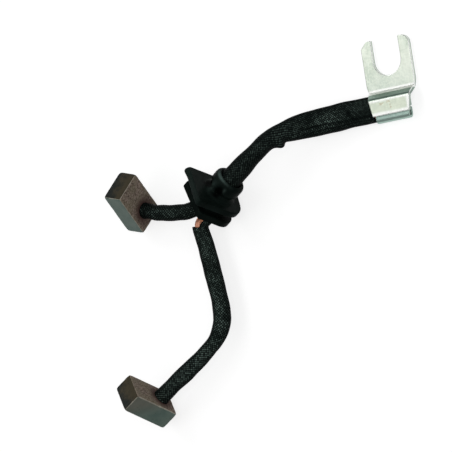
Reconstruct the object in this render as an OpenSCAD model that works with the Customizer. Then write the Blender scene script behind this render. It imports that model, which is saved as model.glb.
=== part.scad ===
// Pair of copper-graphite motor brushes. Each brush hangs on a sleeved copper lead, both leads
// pass through one rubber grommet and a shared sleeve, and they end together in a forked terminal.
//
// Millimetres. The origin is the centre of the fork slot on the terminal's underside, and the
// set lies on the plane z = 0. +X runs along the leads into the terminal, +Y out of the fork.

/* [Layout] */
// Distance from the stud to the grommet, along the terminal
grommet_reach = 54.7; // [50:0.1:70]
// Distance the grommet lies to the side of the stud
grommet_side_step = 27.4; // [25:0.1:30]
// Distance from the grommet to the brush on the short lead, along the terminal
short_reach = 26.7; // [24:0.1:35]
// Distance from the grommet to the brush on the long lead, across the terminal
long_reach = 53.7; // [48:0.1:75]

/* [Brushes] */
// Width of a brush
brush_w = 9.4; // [7:0.1:11]
// Thickness of a brush, measured through the face that takes the lead
brush_t = 6; // [5:0.1:8]
// Length of a brush, from the running face back
brush_l = 15; // [13:0.5:18]
// Bevel along each edge of a brush
brush_bevel = 0.35; // [0.1:0.05:0.6]
// Distance from the running face to the middle of the lead
lead_from_face = 10.5; // [8:0.1:11]
// Depth of the hole that holds the lead's end
seat_depth = 3.6; // [2:0.1:4.5]

/* [Leads] */
// Diameter of a copper lead
lead_d = 2.6; // [2:0.1:2.6]
// Room around a lead in its holes
lead_play = 0.05; // [0.02:0.01:0.1]
// Length of bare lead between the grommet and the long sleeve
bare_l = 6.9; // [6:0.1:12]

/* [Sleeves] */
// Outside diameter of the sleeve on each single lead
sleeve_d = 4.4; // [4:0.1:5]
// Wall of every woven sleeve
sleeve_wall = 0.45; // [0.3:0.05:0.5]
// Outside diameter of the shared sleeve where it is round, in the grommet
pair_d = 6.4; // [6.4:0.1:6.7]
// Width of the shared sleeve where it is pressed flat, at the terminal
flat_w = 7.6; // [7.4:0.1:8]
// Height of the shared sleeve at the terminal
flat_h = 3.8; // [3.7:0.1:4.2]
// Height of the shared sleeve in its bend
bend_h = 5; // [4.2:0.1:5.8]
// Height of the two fold lines along the shared sleeve
crease = 0.25; // [0:0.05:0.4]
// Swelling of the shared sleeve on the inside of its bend
pucker = 0.7; // [0:0.1:1]

/* [Grommet] */
// Size of the upper plate along its straight edge
plate_w = 14; // [13:0.5:18]
// Size of the upper plate across its straight edge
plate_l = 16; // [14:0.5:20]
// Thickness of the upper plate
upper_t = 1.9; // [1.2:0.1:3]
// Width of the groove that holds the panel
groove_w = 2; // [1.5:0.1:3]
// Depth of the groove under the upper plate
groove_depth = 2; // [1:0.1:2.5]
// Thickness of the lower plate
lower_t = 2.2; // [1.2:0.1:3]
// Size of the lower plate along its straight edge
lower_w = 13; // [11:0.1:14]
// Size of the lower plate across its straight edge
lower_l = 13.6; // [12:0.1:14.5]
// Slant of the lower plate's straight edge, from end to end
lower_slant = 1.5; // [0:0.1:2]
// Corner radius at the straight edge
tight_r = 1; // [0.6:0.1:2]
// Corner radius at the round edge
wide_r = 5; // [3:0.1:6]
// Largest diameter of the collar
collar_d = 9.3; // [8.8:0.1:11]
// Height of the collar over the upper plate
collar_h = 6.2; // [5.5:0.1:8]
// Diameter of the neck under the collar's bead
neck_d = 8; // [7.8:0.1:8.4]
// Distance from the plate's round edge to the middle of the collar
collar_from_edge = 7.2; // [6.5:0.1:9]
// Room around the shared sleeve in the collar
collar_play = 0.2; // [0.05:0.05:0.4]

/* [Terminal] */
// Thickness of the terminal's sheet
sheet_t = 1.3; // [0.8:0.1:1.5]
// Width over both tines of the fork
fork_w = 15.1; // [13:0.1:18]
// Width of the fork slot, for an 8 mm stud
slot_d = 8.4; // [6:0.1:9]
// Length of the tines beyond the middle of the stud
tine_l = 6.25; // [4:0.05:9]
// Sheet left between the slot and the first bend
web_l = 4.35; // [3:0.05:7]
// Distance along the fork that the riser takes
riser_run = 2.2; // [1.5:0.1:3.5]
// Length of the flap over the ferrule
flap_l = 4.55; // [3:0.05:6]
// Width of the flap at the riser
flap_w = 13; // [11.8:0.1:15]
// Width of the flap at its free end
flap_end_w = 11.5; // [10.5:0.1:13]
// Radius at the middle of the sheet in both bends
bend_r = 1; // [0.7:0.1:1.5]
// Cut corner of the tine on the lead's side
tine_cut = 2; // [0.5:0.1:3]
// Round corner of the other tine
tine_r = 2.4; // [0.5:0.1:3]
// Height of the ferrule, which is also the riser's rise
ferrule_h = 2.9; // [2.6:0.1:4]
// Width of the ferrule
ferrule_w = 6.8; // [6.2:0.1:7.5]
// Length of the ferrule along the leads
ferrule_l = 10.5; // [7:0.1:10.5]
// Wall of the ferrule
ferrule_t = 0.7; // [0.4:0.05:0.8]

/* [Hidden] */

tin = [0.80, 0.83, 0.78];
copper = [0.78, 0.45, 0.28];
weave_black = [0.07, 0.08, 0.08];
rubber_black = [0.10, 0.12, 0.12];
graphite = [0.42, 0.36, 0.33];

// How the loose pieces lie: the middle of each brush and of the upper plate's top face in plan,
// and the turns about X, Y and Z.
grommet_at = [-grommet_reach, -grommet_side_step];
grommet_turn = [-77.5, -31, -65.5];
brush_short_at = grommet_at + [-short_reach, 2];
brush_short_turn = [17, -35, -118];
brush_long_at = grommet_at + [-31.9, -long_reach];
brush_long_turn = [5, -30, -61];

// Routes of the free stretches, as chosen. The short lead's points are a share of its reach, a
// step to the side and a height, the long lead's are a step, a share of its reach and a height,
// and the shared sleeve's are shares of the grommet's place and a height.
short_shares = [[0.7378, -2.3, 8.4], [0.6479, -2.8, 8.7], [0.5543, -3.3, 8.9],
                [0.4607, -3.6, 9], [0.3708, -3.8, 9.1]];
long_shares = [[-8.2, 0.1285, 5.2], [-8.8, 0.1601, 5.1], [-8.4, 0.2067, 5],
               [-7.6, 0.2905, 5], [-6.8, 0.3929, 5], [-6.3, 0.5047, 5],
               [-6.2, 0.5996, 5], [-6.9, 0.6778, 5.1], [-9.3, 0.7542, 5.3],
               [-13.7, 0.8194, 5.8], [-18.2, 0.8715, 6.2], [-21.6, 0.9125, 6.5]];
pair_shares = [[0.8318, 0.8139, 10.2], [0.7806, 0.7482, 10.4], [0.7313, 0.6807, 10.3],
               [0.691, 0.6241, 9.8], [0.6581, 0.5876, 9.3], [0.6179, 0.5529, 8.7],
               [0.5576, 0.5219, 7.5], [0.4552, 0.4964, 5.5], [0.3144, 0.4763, 3.3],
               [0.2194, 0.4726, 2.4]];
short_route = [for (p = short_shares)
    [grommet_at.x - p.x * short_reach, grommet_at.y + p.y, p.z]];
long_route = [for (p = long_shares)
    [grommet_at.x + p.x, grommet_at.y - p.y * long_reach, p.z]];
pair_route = [for (p = pair_shares) [grommet_at.x * p.x, grommet_at.y * p.y, p.z]];
// The bend where the shared sleeve puckers, how far the pucker spreads, and the side on which
// the leads lie there.
pucker_at = pair_route[5];
pucker_l = 1.8;
bend_side = [0.4, -0.1, 0.9];
// The slant of the long sleeve's cut end, as the rise over a millimetre in each direction.
cut_slant = [0.4, -0.1, -0.2];

side_fn = 12;
sleeve_fn = 16;
pair_fn = 24;
rings_per_point = 2;
corner_steps = 8;
bend_steps = 5;
eps = 0.01;

// ---- Vectors ----

function unit(v) = v / norm(v);
function mix(a, b, t) = a + (b - a) * t;
function clamp01(t) = max(0, min(1, t));
function smooth01(t) = let (c = clamp01(t)) c * c * (3 - 2 * c);
function about_x(p, a) = [p.x, p.y * cos(a) - p.z * sin(a), p.y * sin(a) + p.z * cos(a)];
function about_y(p, a) = [p.x * cos(a) + p.z * sin(a), p.y, p.z * cos(a) - p.x * sin(a)];
function about_z(p, a) = [p.x * cos(a) - p.y * sin(a), p.x * sin(a) + p.y * cos(a), p.z];
function turned(p, turn) = about_z(about_y(about_x(p, turn.x), turn.y), turn.z);

// How far a turned local axis points up or down.
function rise(axis, turn) = turned(axis, turn).z;

// ---- Where the brushes lie ----

// The lowest of a bevelled block's corners under its middle, for the rises a, b and c of its axes.
function block_drop(a, b, c) =
    let (full = brush_w / 2 * a + brush_t / 2 * b + brush_l / 2 * c, bevel = brush_bevel)
    full - min((a + b + c) / 2, b + c, a + c, a + b) * bevel;
function brush_centre(at, turn) =
    [at.x, at.y, block_drop(abs(rise([1, 0, 0], turn)), abs(rise([0, 1, 0], turn)),
                            abs(rise([0, 0, 1], turn)))];

// The middle of the lead hole's mouth and the bottom of its hole.
lead_z = brush_l / 2 - lead_from_face;
function on_brush(at, turn, depth) =
    brush_centre(at, turn) + turned([0, brush_t / 2 - depth, lead_z], turn);

// ---- Where the grommet lies ----

collar_y = plate_l / 2 - collar_from_edge;
lower_x = 0.35;
lower_y = 0.65;
lower_r = wide_r - 1;
lower_z = -(upper_t + groove_w + lower_t);

// The drop from the middle of the top face to the lowest point of a plate, whose round edge
// points down. The plate's middle is at x, y, z, and it is w by l with its wide corners of radius r.
function plate_drop(w, l, r, x, y, z) =
    let (a = rise([1, 0, 0], grommet_turn), v = -rise([0, 1, 0], grommet_turn))
    (w / 2 - r) * abs(a) + (y + l / 2 - r) * v + r * norm([a, v]) - x * a
        - z * rise([0, 0, 1], grommet_turn);
grommet_z = max(plate_drop(plate_w, plate_l, wide_r, 0, 0, -upper_t),
                plate_drop(lower_w, lower_l, lower_r, lower_x, lower_y, lower_z));
grommet_centre = [grommet_at.x, grommet_at.y, grommet_z];
function on_grommet(y, z) = grommet_centre + turned([0, y, z], grommet_turn);

// The leads lie side by side in the grommet and spread a little towards the underside.
pair_gap = 0.06;
half_pair = (lead_d + pair_gap) / 2;
half_spread = 2.15;
sleeve_insert = collar_h - 1.5;
bore_floor = -0.8;
grommet_side = turned([0, -1, 0], grommet_turn);

// ---- Where the leads enter the terminal ----

bend_y = -slot_d / 2 - web_l;
flap_y = bend_y - riser_run;
flap_end_y = flap_y - flap_l;
riser_angle = atan2(ferrule_h, riser_run);
// The ferrule's round side clears the slanted underside of the riser.
ferrule_gap = 0.08;
under_riser = [bend_y - sheet_t / 2 * sin(riser_angle), sheet_t / 2 * (1 - cos(riser_angle))];
ferrule_round_y = under_riser.x - (ferrule_h / 2 + ferrule_gap
    + (ferrule_h / 2 - under_riser.y) * cos(riser_angle)) / sin(riser_angle);
ferrule_y = ferrule_round_y + ferrule_h / 2 - ferrule_w / 2;
lead_slot_w = (ferrule_w - 2 * ferrule_t) / 2;
press_play = 0.2;
lead_flat_h = ferrule_h - 2 * ferrule_t - 2 * press_play;
lead_flat_w = lead_slot_w - 2 * press_play;

// The shared sleeve ends against the flap's slanted edge.
flap_taper = (flap_w - flap_end_w) / 2 / flap_l;
butt_gap = 0.2;
sleeve_end_y = -13;
function end_plane_x(y) = -flap_w / 2 - butt_gap - (y - flap_y) * flap_taper;
sleeve_end = [end_plane_x(sleeve_end_y), sleeve_end_y, flat_h / 2 + 0.06];
// The straight stretch of the shared sleeve before its end.
lead_in_l = 2.5;
ferrule_start_x = end_plane_x(ferrule_y - ferrule_w / 2) + 0.05;
ferrule_end_x = ferrule_start_x + ferrule_l;

// ---- Curves and sections ----

function rest_of(list) = [for (i = [1:1:len(list) - 1]) list[i]];
function spline_at(a, b, c, d, t) =
    0.5 * (2 * b + (c - a) * t + (2 * a - 5 * b + 4 * c - d) * t * t
        + (3 * b - 3 * c + d - a) * t * t * t);
function spline(pts, steps) =
    let (last = len(pts) - 1)
    [for (i = [0:last - 1], j = [0:steps - 1])
        spline_at(pts[max(i - 1, 0)], pts[i], pts[i + 1], pts[min(i + 2, last)], j / steps),
     pts[last]];

// The path without its first stretch of length d.
function after(path, d) =
    let (step = norm(path[1] - path[0]))
    d <= step ? concat([mix(path[0], path[1], d / step)], rest_of(path))
              : after(rest_of(path), d - step);

function tangent(path, i) = unit(path[min(i + 1, len(path) - 1)] - path[max(i - 1, 0)]);

// One ring round a point: a rounded section, w wide along side and h high, squarer as e falls.
function power(x, e) = sign(x) * pow(abs(x), e);
function ring(p, along, side, w, h, e, n) =
    let (across = unit(side - along * (side * along)), up = cross(along, across))
    [for (j = [0:n - 1])
        let (a = 360 * j / n)
        p + across * (w / 2 * power(cos(a), e)) + up * (h / 2 * power(sin(a), e))];
function round_rings(path, d, n, first, last) =
    [for (i = [0:len(path) - 1])
        let (t = i == 0 ? first : i == len(path) - 1 ? last : tangent(path, i))
        ring(path[i], t, cross([0, 0, 1], t), d, d, 1, n)];

function flat(lists) = [for (l = lists, x = l) x];

// Triangles of the wall between the rings that start at point k, seen from outside or inside.
function wall_faces(count, n, k, inside) =
    flat([for (i = [0:count - 2], j = [0:n - 1])
        let (a = k + i * n + j, b = k + i * n + (j + 1) % n, c = b + n, d = a + n)
        inside ? [[a, c, d], [a, b, c]] : [[a, d, c], [a, c, b]]]);

module solid_sweep(rings) {
    n = len(rings[0]);
    top = (len(rings) - 1) * n;
    start_cap = [for (j = [0:n - 1]) j];
    end_cap = [for (j = [0:n - 1]) top + n - 1 - j];
    polyhedron(flat(rings), concat(wall_faces(len(rings), n, 0, false), [start_cap], [end_cap]));
}

module tube_sweep(outer, inner) {
    n = len(outer[0]);
    count = len(outer);
    k = count * n;
    top = (count - 1) * n;
    ends = flat([for (j = [0:n - 1])
        let (m = (j + 1) % n)
        [[j, m, k + m], [j, k + m, k + j],
         [top + m, top + j, k + top + j], [top + m, k + top + j, k + top + m]]]);
    polyhedron(flat([flat(outer), flat(inner)]),
               concat(wall_faces(count, n, 0, false), wall_faces(count, n, k, true), ends));
}

// ---- Routes ----

along_grommet = turned([0, 0, 1], grommet_turn);
short_out = turned([0, 1, 0], brush_short_turn);
long_out = turned([0, 1, 0], brush_long_turn);
short_mouth = on_brush(brush_short_at, brush_short_turn, -lead_play);
long_mouth = on_brush(brush_long_at, brush_long_turn, -lead_play);
straight_l = 2.6;
short_exit = on_grommet(collar_y - half_spread, lower_z - lead_play);
long_exit = on_grommet(collar_y + half_spread, lower_z - lead_play);

short_free = spline(concat([short_mouth, short_mouth + short_out * straight_l], short_route,
                           [short_exit - along_grommet * 1.2, short_exit]), rings_per_point);
long_free = spline(concat([long_exit, long_exit - along_grommet * 2.6], long_route,
                          [long_mouth + long_out * straight_l, long_mouth]), rings_per_point);
pair_free = spline(concat([on_grommet(collar_y, collar_h - sleeve_insert),
                           on_grommet(collar_y, collar_h - sleeve_insert / 2),
                           on_grommet(collar_y, collar_h)],
                          pair_route, [sleeve_end - [lead_in_l, 0, 0], sleeve_end]), rings_per_point);
pair_last = len(pair_free) - 1;

// The leads turn from across the grommet to one above the other in the bend, and from there to
// side by side in the terminal.
function to_bend(u) = unit(mix(grommet_side, bend_side, smooth01((u - 0.12) / 0.28)));
function pair_side(i) =
    let (u = i / pair_last)
    unit(mix(to_bend(u), [0, 1, 0], smooth01((u - 0.5) / 0.25)));
function flatness(i) = smooth01((i / pair_last - 0.5) / 0.35);
function pair_w(i) = mix(pair_d, flat_w, flatness(i));
function pair_h(i) =
    let (u = i / pair_last, bent = mix(pair_d, bend_h, smooth01((u - 0.08) / 0.27)))
    mix(bent, flat_h, smooth01((u - 0.6) / 0.35));

// A lead's middle line through the shared sleeve, on the side given by sign s.
function pair_lead(s) =
    [for (i = [1:pair_last - 2])
        let (t = tangent(pair_free, i), side = pair_side(i), across = unit(side - t * (side * t)))
        pair_free[i] + across * (s * half_pair)];

// The round lead is pressed flat where it enters the ferrule.
function lead_y(s) = ferrule_y + s * (lead_flat_w + press_play) / 2;
function ferrule_entry(s) =
    [[sleeve_end.x - 0.9, mix(sleeve_end_y + s * half_pair, lead_y(s), 0.35),
      mix(sleeve_end.z, ferrule_h / 2, 0.4)],
     [ferrule_start_x - 0.1, lead_y(s), ferrule_h / 2]];
lead_tip = 0.4;

module lead(free, s) {
    grommet_y = collar_y - s * half_spread;
    bore = [on_grommet(mix(collar_y, grommet_y, 0.75), bore_floor - 1)];
    path = concat(free, bore, pair_lead(s), ferrule_entry(s),
                  [[ferrule_start_x + 0.6, lead_y(s), ferrule_h / 2],
                   [ferrule_end_x - lead_tip, lead_y(s), ferrule_h / 2]]);
    last = len(path) - 1;
    rings = [for (i = [0:last])
        let (press = i >= last - 1 ? 1 : i == last - 2 ? 0.95 : i == last - 3 ? 0.4 : 0,
             t = tangent(path, i),
             side = i > last - 5 ? [0, 1, 0] : cross([0, 0, 1], t))
        ring(path[i], t, side, mix(lead_d, lead_flat_w, press), mix(lead_d, lead_flat_h, press),
             mix(1, 0.85, press), side_fn)];
    color(copper) solid_sweep(rings);
}

// ---- Sub-parts ----

module lead_short() {
    seat = on_brush(brush_short_at, brush_short_turn, seat_depth - lead_play);
    lead(concat([seat], short_free), 1);
}

module lead_long() {
    seat = on_brush(brush_long_at, brush_long_turn, seat_depth - lead_play);
    back = [for (i = [len(long_free) - 1:-1:0]) long_free[i]];
    lead(concat([seat], back), -1);
}

// A sleeve whose first end is cut on a slant.
function cut_rings(path, d, first, last, slant) =
    let (rings = round_rings(path, d, sleeve_fn, first, last))
    concat([[for (v = rings[0]) v - first * ((v - path[0]) * slant)]], rest_of(rings));
module sleeve(path, first, last, slant) {
    color(weave_black)
        tube_sweep(cut_rings(path, sleeve_d, first, last, slant),
                   cut_rings(path, sleeve_d - 2 * sleeve_wall, first, last, slant));
}

module sleeve_short() {
    sleeve(short_free, short_out, along_grommet, [0, 0, 0]);
}

module sleeve_long() {
    cut_l = 1.6;
    path = concat([after(long_free, bare_l)[0]], after(long_free, bare_l + cut_l));
    first = unit(path[1] - path[0]);
    sleeve(path, first, -long_out, cut_slant - first * (cut_slant * first));
}

// Two fold lines run along the shared sleeve, on opposite sides of it.
function fold_lift(j) = let (k = j % (pair_fn / 2)) k == 8 ? crease : k == 7 ? -crease / 2 : 0;
function pair_ring(i, grow) =
    let (last = i == pair_last,
         t = last ? unit([1, flap_taper, 0]) : tangent(pair_free, i),
         f = flatness(i),
         near = norm(pair_free[i] - pucker_at) / pucker_l,
         swell = pucker * exp(-near * near),
         r = ring(pair_free[i], t, pair_side(i), pair_w(i) - 2 * grow, pair_h(i) - 2 * grow,
                  mix(1, 0.65, f), pair_fn),
         edge = unit(cross(t, bend_side)))
    [for (j = [0:pair_fn - 1])
        let (v = unit(r[j] - pair_free[i]), on_edge = max(0, v * edge))
        r[j] + v * ((last ? 0 : fold_lift(j) * f) + swell * pow(on_edge, 4))];

module sleeve_pair() {
    outer = [for (i = [0:pair_last]) pair_ring(i, 0)];
    inner = [for (i = [0:pair_last]) pair_ring(i, sleeve_wall)];
    color(weave_black) tube_sweep(outer, inner);
}

module bevelled_outline(w, l) {
    b = brush_bevel;
    polygon([[w / 2, l / 2 - b], [w / 2 - b, l / 2], [b - w / 2, l / 2], [-w / 2, l / 2 - b],
             [-w / 2, b - l / 2], [b - w / 2, -l / 2], [w / 2 - b, -l / 2], [w / 2, b - l / 2]]);
}

module brush(at, turn) {
    deep = 2 * brush_l;
    color(graphite)
        translate(brush_centre(at, turn)) rotate(turn)
            difference() {
                intersection() {
                    linear_extrude(deep, center = true) bevelled_outline(brush_w, brush_t);
                    rotate([90, 0, 0])
                        linear_extrude(deep, center = true) bevelled_outline(brush_w, brush_l);
                    rotate([90, 0, 90])
                        linear_extrude(deep, center = true) bevelled_outline(brush_t, brush_l);
                }
                translate([0, brush_t / 2 - seat_depth, lead_z])
                    rotate([-90, 0, 0])
                        cylinder(h = seat_depth + 1, d = lead_d + 2 * lead_play, $fn = 48);
            }
}

module brush_short() {
    brush(brush_short_at, brush_short_turn);
}

module brush_long() {
    brush(brush_long_at, brush_long_turn);
}

// Outline of a grommet plate: tight corners on the straight edge, wide ones opposite. The
// straight edge slants inwards towards +X.
function corner(x, y, r, from) =
    [for (i = [0:corner_steps])
        let (a = from + 90 * i / corner_steps)
        [x + r * cos(a), y + r * sin(a)]];
module plate_outline(w, l, tight, wide, slant) {
    x = w / 2;
    y = l / 2;
    polygon(concat(corner(x - wide, y - wide, wide, 0), corner(wide - x, y - wide, wide, 90),
                   corner(tight - x, tight - y, tight, 180),
                   corner(x - tight, slant + tight - y, tight, 270)));
}

// Half section of the collar: a foot, a neck and a bead that rounds over into the mouth.
foot_d = neck_d + 1.7;
foot_h = 0.7;
neck_top = 1.9;
bead_low = 2.7;
mouth_r = pair_d / 2 + collar_play;
bead_round = collar_d / 2 - mouth_r;
function collar_section() =
    concat([[0, -eps], [foot_d / 2, -eps], [foot_d / 2, foot_h], [neck_d / 2, foot_h + 0.4],
            [neck_d / 2, neck_top], [collar_d / 2 - 0.2, bead_low - 0.3], [collar_d / 2, bead_low]],
           [for (i = [0:corner_steps])
               let (a = 90 * i / corner_steps)
               [mouth_r + bead_round * cos(a), collar_h - bead_round + bead_round * sin(a)]],
           [[0, collar_h]]);

module lead_slot_outline() {
    d = lead_d + 2 * lead_play;
    translate([0, half_spread]) circle(d = d, $fn = 48);
    translate([0, -half_spread]) circle(d = d, $fn = 48);
    square([d, 2 * half_spread], center = true);
}

module grommet() {
    color(rubber_black)
        translate(grommet_centre) rotate(grommet_turn)
            difference() {
                union() {
                    translate([0, 0, -upper_t])
                        linear_extrude(upper_t) plate_outline(plate_w, plate_l, tight_r, wide_r, 0);
                    translate([0, lower_y, -upper_t - groove_w - eps])
                        linear_extrude(groove_w + 2 * eps)
                            plate_outline(plate_w - 2 * groove_depth, lower_l - 2 * groove_depth,
                                          tight_r, wide_r - groove_depth, lower_slant);
                    translate([lower_x, lower_y, lower_z])
                        linear_extrude(lower_t)
                            plate_outline(lower_w, lower_l, tight_r, lower_r, lower_slant);
                    translate([0, collar_y, 0])
                        rotate_extrude($fn = 64) polygon(collar_section());
                }
                translate([0, collar_y, bore_floor])
                    cylinder(h = collar_h - bore_floor + 1, r = mouth_r, $fn = 64);
                translate([0, collar_y, lower_z - 1])
                    linear_extrude(bore_floor - lower_z + 1 + eps) lead_slot_outline();
            }
}

// Middle line of the bent sheet in the Y-Z plane, with both bends rounded.
function turn_arc(centre, from, to) =
    [for (i = [0:bend_steps])
        let (a = mix(from, to, i / bend_steps))
        centre + bend_r * [cos(a), sin(a)]];
bend_run = bend_r * tan(riser_angle / 2);
mid_z = sheet_t / 2;
sheet_line = concat(
    [[tine_l, mid_z]],
    turn_arc([bend_y + bend_run, mid_z + bend_r], 270, 270 - riser_angle),
    turn_arc([flap_y - bend_run, mid_z + ferrule_h - bend_r], 90 - riser_angle, 90),
    [[flap_end_y, mid_z + ferrule_h]]);
function sheet_side(s) =
    [for (i = [0:len(sheet_line) - 1])
        let (t = tangent(sheet_line, i))
        sheet_line[i] + [-t.y, t.x] * (s * sheet_t / 2)];

// Plan of the blank: two tines round an open slot, then the tapering tail.
module blank_outline() {
    half = fork_w / 2;
    shoulder_l = 2;
    shoulder_w = flap_w / 2 + 0.6;
    difference() {
        polygon(concat(
            [[-half, tine_l - tine_cut], [tine_cut - half, tine_l], [half - tine_r, tine_l]],
            [for (i = [1:corner_steps])
                let (a = 90 - 90 * i / corner_steps)
                [half - tine_r + tine_r * cos(a), tine_l - tine_r + tine_r * sin(a)]],
            [[half, bend_y + shoulder_l], [shoulder_w, bend_y], [flap_w / 2, flap_y],
             [flap_end_w / 2, flap_end_y], [-flap_end_w / 2, flap_end_y], [-flap_w / 2, flap_y],
             [-shoulder_w, bend_y], [-half, bend_y + shoulder_l]]));
        circle(d = slot_d, $fn = 64);
        translate([-slot_d / 2, 0]) square([slot_d, tine_l + 1]);
    }
}

module terminal() {
    color(tin)
        intersection() {
            rotate([90, 0, 90])
                linear_extrude(2 * fork_w, center = true)
                    polygon(concat(sheet_side(1), [for (i = [len(sheet_line) - 1:-1:0])
                        sheet_side(-1)[i]]));
            linear_extrude(4 * ferrule_h, center = true) blank_outline();
        }
}

module racetrack(w, h) {
    square([w - h, h], center = true);
    translate([(w - h) / 2, 0]) circle(d = h, $fn = 48);
    translate([(h - w) / 2, 0]) circle(d = h, $fn = 48);
}

// A strip folded round both lead ends, with its butt seam underneath.
module ferrule() {
    seam = 0.3;
    color(tin)
        translate([ferrule_start_x, ferrule_y, ferrule_h / 2]) rotate([90, 0, 90])
            difference() {
                linear_extrude(ferrule_l) racetrack(ferrule_w, ferrule_h);
                translate([0, 0, -1])
                    linear_extrude(ferrule_l + 2)
                        racetrack(ferrule_w - 2 * ferrule_t, ferrule_h - 2 * ferrule_t);
                translate([-seam / 2, -ferrule_h, -1]) cube([seam, ferrule_h, ferrule_l + 2]);
            }
}

terminal();
ferrule();
lead_short();
lead_long();
sleeve_pair();
grommet();
sleeve_short();
sleeve_long();
brush_short();
brush_long();
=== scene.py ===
"""Looks for a set of two carbon brushes on sleeved copper leads with a fork terminal."""
import math

import bmesh
import bpy
import numpy as np
from mathutils import Euler, Matrix, Vector, noise


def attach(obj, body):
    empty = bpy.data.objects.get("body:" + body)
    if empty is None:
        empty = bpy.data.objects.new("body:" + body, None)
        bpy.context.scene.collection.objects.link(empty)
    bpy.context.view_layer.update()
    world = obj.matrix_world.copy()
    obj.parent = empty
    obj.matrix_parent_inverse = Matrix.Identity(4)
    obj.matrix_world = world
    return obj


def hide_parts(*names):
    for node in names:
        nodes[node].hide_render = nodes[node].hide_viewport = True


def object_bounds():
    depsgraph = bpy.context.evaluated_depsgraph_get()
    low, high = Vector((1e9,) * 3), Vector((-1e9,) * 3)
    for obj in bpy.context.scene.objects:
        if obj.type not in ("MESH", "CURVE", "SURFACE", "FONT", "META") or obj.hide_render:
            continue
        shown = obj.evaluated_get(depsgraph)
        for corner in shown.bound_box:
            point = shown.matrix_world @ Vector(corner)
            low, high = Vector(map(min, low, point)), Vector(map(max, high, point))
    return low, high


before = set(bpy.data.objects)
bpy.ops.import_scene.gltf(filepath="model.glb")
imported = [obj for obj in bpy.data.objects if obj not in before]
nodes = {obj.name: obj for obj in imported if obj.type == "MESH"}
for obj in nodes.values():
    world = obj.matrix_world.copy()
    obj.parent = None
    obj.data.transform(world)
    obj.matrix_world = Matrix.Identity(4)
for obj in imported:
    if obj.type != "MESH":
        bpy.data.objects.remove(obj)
cad_low, cad_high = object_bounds()
MM = 0.001


# ---- Sizes and routes of the construction, in millimetres ----

BRUSH_W, BRUSH_T, BRUSH_L, BRUSH_BEVEL = 9.4, 6.0, 15.0, 0.35
LEAD_D, LEAD_PLAY, LEAD_FROM_FACE, BARE_L = 2.6, 0.05, 10.5, 6.9
STRAIGHT_L, TURN_IN_L, TONGUE_L, TORN_L = 2.6, 1.2, 5.2, 4.75
SLEEVE_D, SLEEVE_WALL, SLEEVE_PLAY = 4.4, 0.45, 0.06
PAIR_D, FLAT_W, FLAT_H, BEND_H, PAIR_GIRTH = 6.4, 7.6, 3.8, 5.0, 19.2
SLEEVE_STOP, FLAP_GAP = 1.5, 0.2
PLATE_W, PLATE_L, UPPER_T, GROOVE_W, LOWER_T = 14.0, 16.0, 1.9, 2.0, 2.2
LOWER_W, LOWER_L, LOWER_X, LOWER_Y = 13.0, 13.6, 0.35, 0.65
WIDE_R, LOWER_R = 5.0, 4.0
COLLAR_H, COLLAR_Y, HALF_SPREAD = 6.2, 0.8, 2.15
SLOT_D, WEB_L, RISER_RUN = 8.4, 4.35, 2.2
FLAP_L, FLAP_W, FLAP_END_W, FLAP_TOP = 4.55, 13.0, 11.5, 4.2
LOWER_Z = -(UPPER_T + GROOVE_W + LOWER_T)

SHORT_AT, SHORT_TURN = (-81.4, -25.4), (17, -35, -118)
LONG_AT, LONG_TURN = (-86.6, -81.1), (5, -30, -61)
GROMMET_AT, GROMMET_TURN = (-54.7, -27.4), (-77.5, -31, -65.5)
SHORT_ROUTE = [(-74.4, -29.7, 8.4), (-72, -30.2, 8.7), (-69.5, -30.7, 8.9), (-67, -31, 9),
               (-64.6, -31.2, 9.1)]
LONG_ROUTE = [(-62.9, -34.3, 5.2), (-63.5, -36, 5.1), (-63.1, -38.5, 5), (-62.3, -43, 5),
              (-61.5, -48.5, 5), (-61, -54.5, 5), (-60.9, -59.6, 5), (-61.6, -63.8, 5.1),
              (-64, -67.9, 5.3), (-68.4, -71.4, 5.8), (-72.9, -74.2, 6.2), (-76.3, -76.4, 6.5)]
PAIR_ROUTE = [(-45.5, -22.3, 10.2), (-42.7, -20.5, 10.4), (-40, -18.65, 10.3),
              (-37.8, -17.1, 9.8), (-36, -16.1, 9.3), (-33.8, -15.15, 8.7), (-30.5, -14.3, 7.5),
              (-24.9, -13.6, 5.5), (-17.2, -13.05, 3.3), (-12, -12.95, 2.4)]
BEND_SIDE = Vector((0.4, -0.1, 0.9))

# directions: out of the set's front, to its upper side, and to the open side of the torn end
TOWARDS_FRONT = np.array((0.436, -0.1, 0.894))
TOWARDS_TOP = np.array((0.18, 0.98, 0.02))
TORN_SIDE = np.array((-0.88, 0.155, 0.447))


def turn(angles):
    return Euler([math.radians(a) for a in angles]).to_matrix()


def mix(a, b, t):
    return a + (b - a) * t


def smooth01(t):
    t = min(1.0, max(0.0, t))
    return t * t * (3 - 2 * t)


def spline_point(points, at):
    """Point of the smooth route at a share from 0 to 1 of its stretches."""
    last = len(points) - 1
    i = min(int(at * last), last - 1)
    t = at * last - i
    a, b, c, d = points[max(i - 1, 0)], points[i], points[i + 1], points[min(i + 2, last)]
    return 0.5 * (2 * b + (c - a) * t + (2 * a - 5 * b + 4 * c - d) * t * t
                  + (3 * b - 3 * c + d - a) * t ** 3)


def route_length(points, steps=40):
    """Length run at each of many places along the smooth route."""
    fine = [spline_point(points, i / (steps * len(points))) for i in range(steps * len(points) + 1)]
    run = [0.0]
    for p, q in zip(fine, fine[1:]):
        run.append(run[-1] + (q - p).length)
    return run


def brush_middle(at, angles):
    """Middle of a tilted block whose lowest edge or corner touches the floor."""
    a, b, c = (abs(turn(angles)[2][k]) for k in range(3))
    drop = BRUSH_W / 2 * a + BRUSH_T / 2 * b + BRUSH_L / 2 * c
    drop -= min((a + b + c) / 2, b + c, a + c, a + b) * BRUSH_BEVEL
    return Vector((at[0], at[1], drop))


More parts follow.
